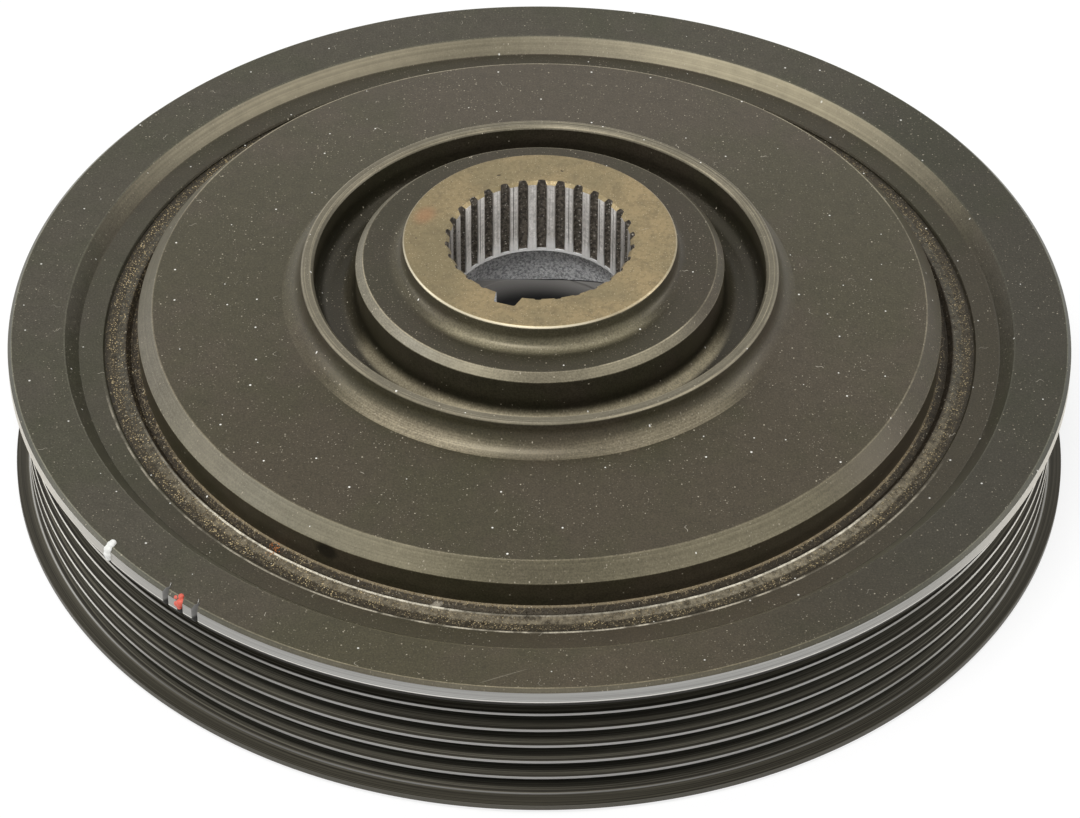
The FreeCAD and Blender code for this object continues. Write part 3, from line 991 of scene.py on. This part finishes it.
# inertia ring with the belt track
ring = {
    "boreRadius": 73.75,
    "rearMouth": 1.2,
    "frontEdge": 0.65,
    "rearEdge": 0.7,
    "faceInner": 80.4,
    "recessRadius": 78.0,
    "recessDepth": 2.4,
    "grooves": 6,
    "pitch": 3.52,
    "grooveAngle": 40.0,
    "crestRadius": 87.6,
    "crestWidth": 0.5,
    "rootWidth": 0.7,
    "frontFlange": 2.6,
    "flangeBreak": (0.5, 1.1),
    "rearFlange": 1.6,
    "stepRadius": 87.75,
    "notchAngles": (219.5, 228.5, 230.5, 232.5),
    "notchWidth": 1.3,
    "notchDepth": 1.5,
    "drillings": (64.0, 82.0, 106.0),
    "drillRadius": 4.0,
    "drillDepth": 6.0,
    "drillCircle": 79.6,
    "burrAngles": (228.4, 232.3),
    "scratch": (-5.5, -86.7, 4.7, 0.12, 23.0),
}


def grooveSizes():
    # slope of a flank, radius of the roots and height of the first groove
    size = SimpleNamespace(**ring)
    slope = math.tan(math.radians(size.grooveAngle / 2))
    root = size.crestRadius - (size.pitch - size.crestWidth - size.rootWidth) / 2 / slope
    breakRadius = ringRadius - size.flangeBreak[0]
    flankTop = ringWidth - size.frontFlange - size.flangeBreak[1]
    first = flankTop - (breakRadius - root) * slope - size.rootWidth / 2
    return slope, root, first, flankTop


def ringCorners():
    size = SimpleNamespace(**ring)
    slope, root, first, flankTop = grooveSizes()
    last = first - (size.grooves - 1) * size.pitch
    halfRoot = size.rootWidth / 2
    halfCrest = size.crestWidth / 2
    stepRun = (size.stepRadius - root) * slope
    corners = [
        (size.boreRadius, size.rearMouth, 0.1),
        (size.boreRadius + size.rearMouth, 0, 0.1),
        (ringRadius - size.rearEdge, 0, 0.12),
        (ringRadius, size.rearEdge, 0.12),
        (ringRadius, size.rearFlange, 0.12),
        (size.stepRadius, last - halfRoot - stepRun, 0.15),
    ]
    for index in range(size.grooves):
        height = last + index * size.pitch
        corners += [(root, height - halfRoot, 0.16), (root, height + halfRoot, 0.16)]
        if index < size.grooves - 1:
            crest = height + size.pitch / 2
            for edge in (crest - halfCrest, crest + halfCrest):
                corners.append((size.crestRadius, edge, 0.14))
    recess = ringWidth - size.recessDepth
    return corners + [
        (ringRadius - size.flangeBreak[0], flankTop, 0.1),
        (ringRadius, ringWidth - size.frontFlange, 0.1),
        (ringRadius, ringWidth - size.frontEdge, 0.1),
        (ringRadius - size.frontEdge, ringWidth, 0.1),
        (size.faceInner, ringWidth, 0.3),
        (size.recessRadius, recess, 0.4),
        (size.boreRadius + 0.3, recess, 0.1),
        (size.boreRadius, recess - 0.3, 0),
    ]


def ringTools():
    size = SimpleNamespace(**ring)
    _, _, low, _ = grooveSizes()
    tip = ringRadius - size.notchDepth
    mouth = ringRadius + 2
    mouthWidth = size.notchWidth * (mouth - tip) / size.notchDepth
    high = ringWidth + 2
    bpy.ops.mesh.primitive_cylinder_add(vertices=3, radius=1, depth=1, rotation=(0, 0, math.radians(90)))
    bpy.ops.object.transform_apply()
    notch = bpy.context.object
    tipSide = min(vertex.co.x for vertex in notch.data.vertices)
    farSide = max(vertex.co.x for vertex in notch.data.vertices)
    if sum(1 for vertex in notch.data.vertices if vertex.co.x < tipSide + 0.01) > 2:
        notch.data.transform(Matrix.Rotation(math.pi, 4, "Z"))
        tipSide, farSide = -farSide, -tipSide
    widest = max(vertex.co.y for vertex in notch.data.vertices) * 2
    grow = (mouth - tip) / (farSide - tipSide)
    notch.data.transform(Matrix.Translation((-tipSide, 0, 0.5)))
    notch.data.transform(Matrix.Diagonal((grow * mm, mouthWidth / widest * mm, (high - low) * mm, 1)))
    notch.data.transform(Matrix.Translation((tip * mm, 0, low * mm)))
    tools = around(notch, size.notchAngles)
    depth = size.drillDepth + 2
    bpy.ops.mesh.primitive_cylinder_add(vertices=64, radius=size.drillRadius * mm, depth=depth * mm,
                                        location=(size.drillCircle * mm, 0, (depth / 2 - 2) * mm))
    bpy.ops.object.transform_apply()
    drill = bpy.context.object
    startEdit("FACE")
    selectFaces(drill, lambda radius, height, normal: normal.z > 0.9)
    bpy.ops.mesh.poke(offset=size.drillRadius / math.tan(math.radians(59)) * mm)
    bpy.ops.object.mode_set(mode="OBJECT")
    return tools + around(drill, size.drillings)


def ringCoatPaint(face):
    # face is True for the wide front face, False for the rest of the ring
    size = SimpleNamespace(**ring)
    recess = ringWidth - size.recessDepth
    lines = [
        (ringRadius - size.frontEdge, ringWidth, 0.16, 0.5),
        (size.faceInner, ringWidth, 0.25, 0.15),
    ]
    edge = ((ringRadius - size.frontEdge, ringWidth - size.frontEdge), (ringRadius, ringWidth))
    bevel = ((size.recessRadius, recess + 0.1), (size.faceInner, ringWidth - 0.1))
    # painted highlights on the front edge at the back and on the recess bevel, with two short glints
    bands = [(*edge, (0.105, 0.096, 0.075), 0, 180)]
    if not face:
        bands += [
            (*bevel, (0.105, 0.092, 0.064), 272, 40, 30),
            (*bevel, (0.165, 0.147, 0.100), 90, 50, 28),
            (*bevel, (0.380, 0.335, 0.230), 60, 5, 22),
            (*bevel, (0.300, 0.265, 0.185), 121, 5, 22),
        ]
    paint, marks, grain, mottle = coatPaint("ring_face" if face else "ring_coat", lines, bands)
    # less brown than the hub, with painted shade at the right, in front and down in the recess
    ahead = paint.stretch(272, 14, 40)
    onFace = 1
    cool = 1 - ahead
    if not face:
        onFace = paint.outward(size.faceInner - 0.2, size.faceInner)
        floor = paint.outward(size.recessRadius + 0.1, size.recessRadius - 0.3)
        cool = cool * paint.most(paint.most(onFace, floor), 1 - paint.stretch(90, 60, 28))
    paint.stain(cool, (0.84, 0.93, 0.98))
    paint.stain(paint.stretch(350, 42, 32) * onFace, (0.62, 0.64, 0.64))
    paint.stain(ahead * onFace, (0.96, 0.94, 0.86))
    if face:
        scratch = paint.ease(paint.spot(*size.scratch), 1.1, 0.6)
        paint.over(scratch * 0.35, (0.30, 0.27, 0.21))
        return coatFinish(paint, marks, grain, mottle, 0.75)
    paint.stain(floor * (1 - paint.stretch(180, 18, 26) * 0.85), (0.66, 0.62, 0.54))
    # a dark line where the iron ends, and a dashed pale line of dirt just outside it
    joint = paint.line(size.boreRadius + 0.05, recess - 0.1, 0.2)
    paint.over(joint * 0.75, (0.014, 0.012, 0.009))
    middle = paint.stretch(272, 18, 20)
    dirt = paint.line(size.boreRadius + 0.65 - middle * 0.15, recess, 0.24) * paint.stretch(262, 60, 14)
    dirt = dirt * (0.12 + 0.5 * paint.ease(paint.noise(330, 2.0), 0.40, 0.60)) * (1 + middle * 0.5)
    paint.over(dirt, (0.52, 0.47, 0.37))
    return coatFinish(paint, marks, grain, mottle, 0.75)


def trackPaint():
    # turned grooves: olive flanks with fine lines, crests with a painted highlight, a bare rim on the front
    # flange
    size = SimpleNamespace(**ring)
    _, root, _, flankTop = grooveSizes()
    paint = Paint("belt_track", Specular_IOR_Level=0.3, Specular_Tint=coat["sheen"])
    marks = paint.latheMarks(7.0, 0.002, 3.0)
    fine = paint.ease(marks, 0.35, 0.65)
    # painted shade: darker down towards the roots
    climb = paint.outward(root + 0.2, size.crestRadius)
    paint.color = paint.mix(climb, (0.026, 0.028, 0.024), (0.095, 0.088, 0.068))
    rear = paint.upward(2.3, 1.9)
    paint.over(rear, (0.040, 0.037, 0.028))
    paint.color = paint.shade(paint.color, 0.35 + fine * 1.3)
    # painted shadow under the front flange
    under = paint.upward(flankTop - 0.2, flankTop)
    paint.over(under, (0.004, 0.004, 0.004))
    # a painted shadow line under each crest, and a painted highlight on the crest that is whitest at the far
    # left and right
    crest = paint.band(paint.radius, size.crestRadius - 0.05, size.crestRadius + 0.05, 0.04)
    shadow = paint.band(paint.radius, size.crestRadius - 0.45, size.crestRadius - 0.1, 0.06)
    paint.over(shadow * 0.8, (0.004, 0.004, 0.004))
    crest = crest * (paint.height > size.rearFlange + 1) + paint.line(size.stepRadius, 2.13, 0.2) * 0.5
    ends = paint.most(paint.stretch(188, 18, 24), paint.stretch(347, 14, 22))
    crestTint = paint.mix(paint.stretch(277, 26, 20), (0.24, 0.235, 0.225), (0.36, 0.355, 0.345))
    paint.over(crest, paint.mix(ends, crestTint, (0.85, 0.84, 0.80)))
    out = paint.outward(ringRadius - 0.12, ringRadius - 0.02)
    rim = out * (paint.height > ringWidth - size.frontFlange)
    paint.over(out * (paint.height < 5) * 0.8, (0.11, 0.105, 0.09))
    streaks = paint.ease(marks, 0.3, 0.7)
    bare = paint.mix(streaks, (0.285, 0.283, 0.272), (0.455, 0.45, 0.43))
    # painted highlight: the bare rim is lighter at the far left and right
    bare = paint.mix(ends * 0.6, bare, (0.74, 0.73, 0.69))
    paint.over(rim, bare)
    edge = paint.line(ringRadius, ringWidth - size.frontFlange, 0.22)
    paint.over(edge * 0.9, (0.85, 0.83, 0.78))
    flangeFoot = ringWidth - size.frontFlange
    low = paint.upward(flangeFoot + 0.5, flangeFoot - 0.2)
    for angle in size.notchAngles:
        notch = paint.ease(abs(paint.angle - (angle - 360)), 0.42, 0.38) * (paint.height > flankTop)
        paint.over(notch, paint.mix(low, (0.30, 0.295, 0.285), (0.05, 0.05, 0.05)))
    shine = paint.most(crest, rim)
    relief = paint.bump(marks, 0.012, 0.8)
    return paint.finish(0.45 - shine * 0.1, 0.1 + shine * 0.35, relief)


# paint dabs on the timing notches; beads are radius, sideways, height and bead radius
dabs = {
    "white": {
        "angle": 219.5,
        "color": (1.0, 1.0, 0.96),
        "beads": [(89.95, 0.1, 25.1, 0.62), (89.95, 0.0, 25.8, 0.8), (89.75, -0.1, 26.5, 0.82),
                  (89.2, -0.2, 27.0, 0.74), (88.75, -0.3, 27.15, 0.62)],
    },
    "red": {
        "angle": 230.25,
        "color": (0.80, 0.135, 0.085),
        "beads": [(89.8, 0.2, 25.4, 0.5), (89.8, -0.25, 25.8, 0.58), (89.7, 0.3, 26.2, 0.68),
                  (89.5, -0.65, 26.6, 0.46), (89.5, 0.7, 26.5, 0.46), (89.1, 0.0, 26.9, 0.52)],
    },
}


def dabPaint(name, color):
    paint = Paint("dab_" + name, Roughness=0.42)
    lumps = paint.noise(1100, 3.0)
    paint.color = paint.mix(lumps, tuple(value * 0.8 for value in color), color)
    return paint.finish(None, None, paint.bump(lumps, 0.12, 0.7))


def makeDab(name):
    dab = dabs[name]
    beads = []
    for radius, aside, height, bead in dab["beads"]:
        bpy.ops.mesh.primitive_uv_sphere_add(segments=20, ring_count=12, radius=bead * mm,
                                             location=(radius * mm, aside * mm, height * mm))
        beads.append(bpy.context.object)
    selectOnly(*reversed(beads))
    bpy.ops.object.join()
    bpy.ops.object.transform_apply()
    blob = bpy.context.object
    blob.data.remesh_voxel_size = 0.11 * mm
    bpy.ops.object.voxel_remesh()
    bpy.ops.object.modifier_add(type="SMOOTH")
    blob.modifiers[-1].iterations = 3
    bpy.ops.object.modifier_apply(modifier=blob.modifiers[-1].name)
    blob.data.transform(Matrix.Rotation(math.radians(dab["angle"]), 4, "Z"))
    blob.data.materials.clear()
    blob.data.materials.append(dabPaint(name, dab["color"]))
    return blob


def makeBurr(angle):
    # a curl of metal that the cutter left at the tip of a notch, half sunk in the face
    bpy.ops.mesh.primitive_torus_add(major_radius=0.42 * mm, minor_radius=0.07 * mm, major_segments=28,
                                     minor_segments=8, rotation=(math.radians(70), 0, math.radians(35)))
    bpy.ops.object.transform_apply()
    burr = bpy.context.object
    burr.data.transform(Matrix.Translation((88.55 * mm, -0.1 * mm, ringWidth * mm)))
    burr.data.transform(Matrix.Rotation(math.radians(angle), 4, "Z"))
    paint = Paint("burr", Metallic=0.7, Roughness=0.4)
    paint.color = paint.mix(paint.noise(2500, 2.0), (0.22, 0.21, 0.19), (0.42, 0.41, 0.38))
    burr.data.materials.append(paint.finish())
    return burr


def makeRing():
    size = SimpleNamespace(**ring)
    piece = turnPiece("inertia_ring_turned", ringCorners())
    cutAway(piece, ringTools())
    edge = ringWidth - size.frontEdge
    dress(piece, [
        (ringCoatPaint(False), None),
        (ringCoatPaint(True), lambda r, z, n: r > size.faceInner + 1 and z > ringWidth - 0.005),
        (trackPaint(), lambda r, z, n: r > 83 and 0.75 < z < edge + 0.02 and n.z < 0.98),
    ])
    extras = [makeDab(name) for name in dabs] + [makeBurr(angle) for angle in size.burrAngles]
    selectOnly(piece, *extras)
    bpy.ops.object.join()
    smoothOff(piece)
    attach(piece, "root")
    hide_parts("inertia_ring")
    print("inertia ring", len(piece.data.polygons), "faces")


addCamera()
addLights()
addBackdrop()
print("studio ready")
makeHub()
makeRubber()
makeRing()
